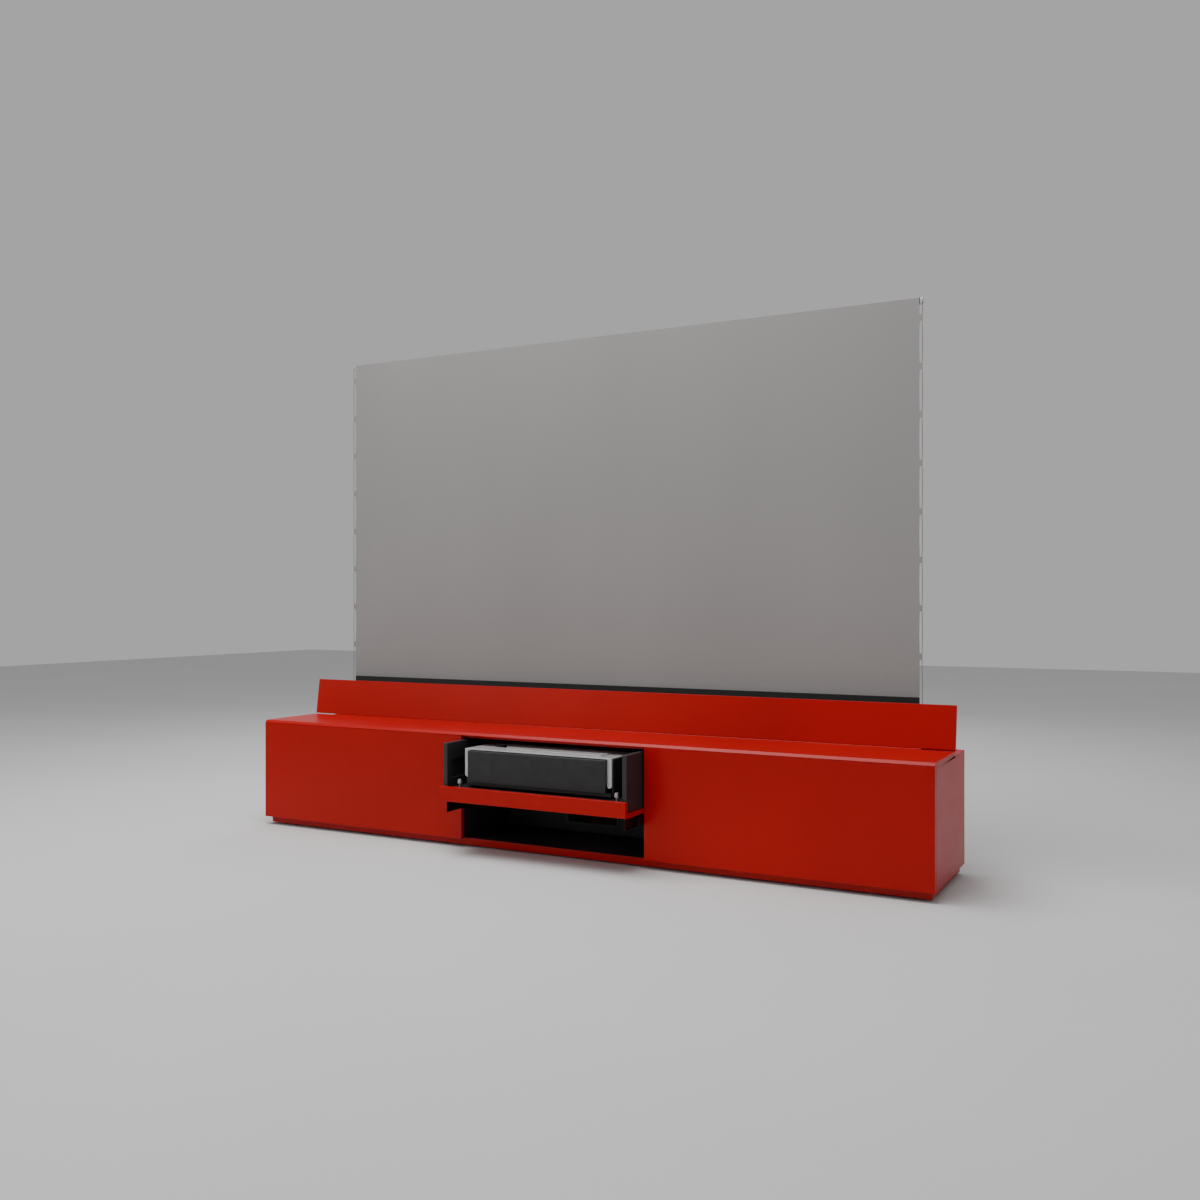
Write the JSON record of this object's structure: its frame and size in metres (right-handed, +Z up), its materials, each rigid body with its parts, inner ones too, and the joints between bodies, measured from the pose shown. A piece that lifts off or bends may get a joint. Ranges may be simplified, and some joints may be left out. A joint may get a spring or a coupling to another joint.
{
  "type": "projector cabinet with rising screen",
  "caption": "Low red media cabinet with a short-throw projector on a slide-out tray, drop-down doors, a rear flap and a tensioned roll-up screen that rises on elbow arms.",
  "frame": {"origin": "centre of the footprint, on the floor", "axes": "+X to the right along the cabinet, +Y from the door fronts to the back, +Z up"},
  "size_m": [2.96, 0.652, 2.124],
  "materials": {
    "red_lacquer": "satin red lacquer on board",
    "red_steel": "satin red lacquer on steel",
    "black_board": "matt black laminate on board",
    "black_steel": "matt black powder coat",
    "black_aluminium": "black anodised",
    "zinc_steel": "zinc plated",
    "bare_aluminium": "mill finish",
    "silver_shell": "satin silver paint",
    "black_plastic": "fine moulded grain",
    "mirror_glass": "front-coated mirror",
    "circuit_board": "green solder mask with dark parts",
    "screen_fabric": "matt pale grey screen cloth with a black back and border"
  },
  "bodies": {
    "cabinet": {"top_panel": "red_lacquer", "bottom_panel": "red_lacquer", "back_panel": "red_lacquer", "bay_back_panel": "black_board", "end_panel_left": "red_lacquer", "end_panel_right": "red_lacquer", "divider_left": "black_board", "divider_right": "black_board", "cabinet_hinge_leaf_left": "zinc_steel", "cabinet_hinge_leaf_right": "zinc_steel", "top_hinge_leaf": "red_steel", "screen_casing": "black_steel", "lift_base": "black_steel", "screen_fabric": "screen_fabric", "outer_rail_left": "black_steel", "outer_rail_right": "black_steel"},
    "door_left": {"door_left": "red_lacquer", "door_hinge_leaf_left": "zinc_steel"},
    "door_right": {"door_right": "red_lacquer", "door_hinge_leaf_right": "zinc_steel"},
    "flap": {"rear_flap": "red_lacquer", "flap_hinge_leaf": "red_steel"},
    "lower_arm_left": {"lower_arm_left": "bare_aluminium"},
    "upper_arm_left": {"upper_arm_left": "bare_aluminium"},
    "lower_arm_right": {"lower_arm_right": "bare_aluminium"},
    "upper_arm_right": {"upper_arm_right": "bare_aluminium"},
    "top_bar": {"screen_top_bar": "black_aluminium"},
    "roller": {"screen_roller": "bare_aluminium"},
    "tray": {"tray_board": "red_lacquer", "tray_front_lip": "red_lacquer", "tray_side_left": "black_board", "tray_side_right": "black_board", "projector_platform": "black_board", "inner_rail_left": "black_steel", "inner_rail_right": "black_steel", "projector_base": "black_plastic", "projector_top_frame": "silver_shell", "projector_front_panel": "black_plastic", "projector_rear_panel": "black_plastic", "projector_rear_deck": "black_plastic", "projector_side_left": "black_plastic", "projector_side_right": "black_plastic", "lens_well": "black_plastic", "concave_mirror": "mirror_glass", "lens_barrel": "black_aluminium", "light_engine": "bare_aluminium", "heat_sink": "bare_aluminium", "fan_housing": "black_plastic", "power_supply": "circuit_board", "main_board": "circuit_board", "speaker_left": "black_plastic", "speaker_right": "black_plastic"},
    "middle_rail_left": {"middle_rail_left": "black_steel"},
    "middle_rail_right": {"middle_rail_right": "black_steel"},
    "knob_left": {"levelling_knob_left": "zinc_steel"},
    "knob_right": {"levelling_knob_right": "zinc_steel"},
    "shutter": {"lens_shutter": "silver_shell"},
    "fan": {"fan_rotor": "black_plastic"},
    "power_button": {"power_button": "zinc_steel"}
  },
  "joints": [
    {"name": "tray_slide", "type": "slide", "parent": "cabinet", "child": "tray", "axis": [0, -1, 0], "range_m": [-0.15, 0.13]},
    {"name": "rail_slide_left", "type": "slide", "parent": "cabinet", "child": "middle_rail_left", "axis": [0, -1, 0], "range_m": [-0.075, 0.065]},
    {"name": "rail_slide_right", "type": "slide", "parent": "cabinet", "child": "middle_rail_right", "axis": [0, -1, 0], "range_m": [-0.075, 0.065]},
    {"name": "door_left_hinge", "type": "hinge", "parent": "cabinet", "child": "door_left", "pos_m": [-0.946, -0.1545, 0.0385], "axis": [1, 0, 0], "range_deg": [0, 88]},
    {"name": "door_right_hinge", "type": "hinge", "parent": "cabinet", "child": "door_right", "pos_m": [0.946, -0.1545, 0.0385], "axis": [1, 0, 0], "range_deg": [0, 88]},
    {"name": "flap_hinge", "type": "hinge", "parent": "cabinet", "child": "flap", "pos_m": [0, 0.158, 0.468], "axis": [1, 0, 0], "range_deg": [-26, 0]},
    {"name": "screen_lift", "type": "hinge", "parent": "cabinet", "child": "lower_arm_left", "pos_m": [-0.25, 0.284, 0.3], "axis": [0, -1, 0], "range_deg": [0, 67], "deforming": ["screen_fabric"]},
    {"name": "elbow_left", "type": "hinge", "parent": "lower_arm_left", "child": "upper_arm_left", "pos_m": [-0.57748, 0.296, 1.19975], "axis": [0, -1, 0], "range_deg": [-135, 1]},
    {"name": "bar_pivot", "type": "hinge", "parent": "upper_arm_left", "child": "top_bar", "pos_m": [-0.25, 0.296, 2.0995], "axis": [0, -1, 0], "range_deg": [-1, 68]},
    {"name": "shoulder_right", "type": "hinge", "parent": "cabinet", "child": "lower_arm_right", "pos_m": [0.25, 0.284, 0.3], "axis": [0, -1, 0], "range_deg": [-68, 1]},
    {"name": "elbow_right", "type": "hinge", "parent": "lower_arm_right", "child": "upper_arm_right", "pos_m": [0.57748, 0.296, 1.19975], "axis": [0, -1, 0], "range_deg": [-1, 135]},
    {"name": "roller_spin", "type": "hinge", "parent": "cabinet", "child": "roller", "pos_m": [0, 0.2345, 0.225], "axis": [-1, 0, 0], "range_deg": [-1, 3360]},
    {"name": "knob_left_spin", "type": "hinge", "parent": "tray", "child": "knob_left", "pos_m": [-0.35, -0.276, 0.288], "axis": [0, 0, 1], "continuous": true},
    {"name": "knob_right_spin", "type": "hinge", "parent": "tray", "child": "knob_right", "pos_m": [0.35, -0.276, 0.288], "axis": [0, 0, 1], "continuous": true},
    {"name": "shutter_slide", "type": "slide", "parent": "tray", "child": "shutter", "axis": [0, 1, 0], "range_m": [0, 0.093]},
    {"name": "fan_spin", "type": "hinge", "parent": "tray", "child": "fan", "pos_m": [0.311, -0.102, 0.342], "axis": [1, 0, 0], "continuous": true},
    {"name": "power_press", "type": "slide", "parent": "tray", "child": "power_button", "axis": [0, -1, 0], "range_m": [0, 0.0015], "stiffness_N_per_m": 400}
  ],
  "couplings": [
    {"joint": "rail_slide_left", "follows": "tray_slide", "ratio": 0.5},
    {"joint": "rail_slide_right", "follows": "tray_slide", "ratio": 0.5},
    {"joint": "elbow_left", "follows": "screen_lift", "ratio": -2},
    {"joint": "bar_pivot", "follows": "screen_lift", "ratio": 1},
    {"joint": "shoulder_right", "follows": "screen_lift", "ratio": -1},
    {"joint": "elbow_right", "follows": "screen_lift", "ratio": 2},
    {"joint": "roller_spin", "follows": "screen_lift", "ratio": 50.1}
  ]
}
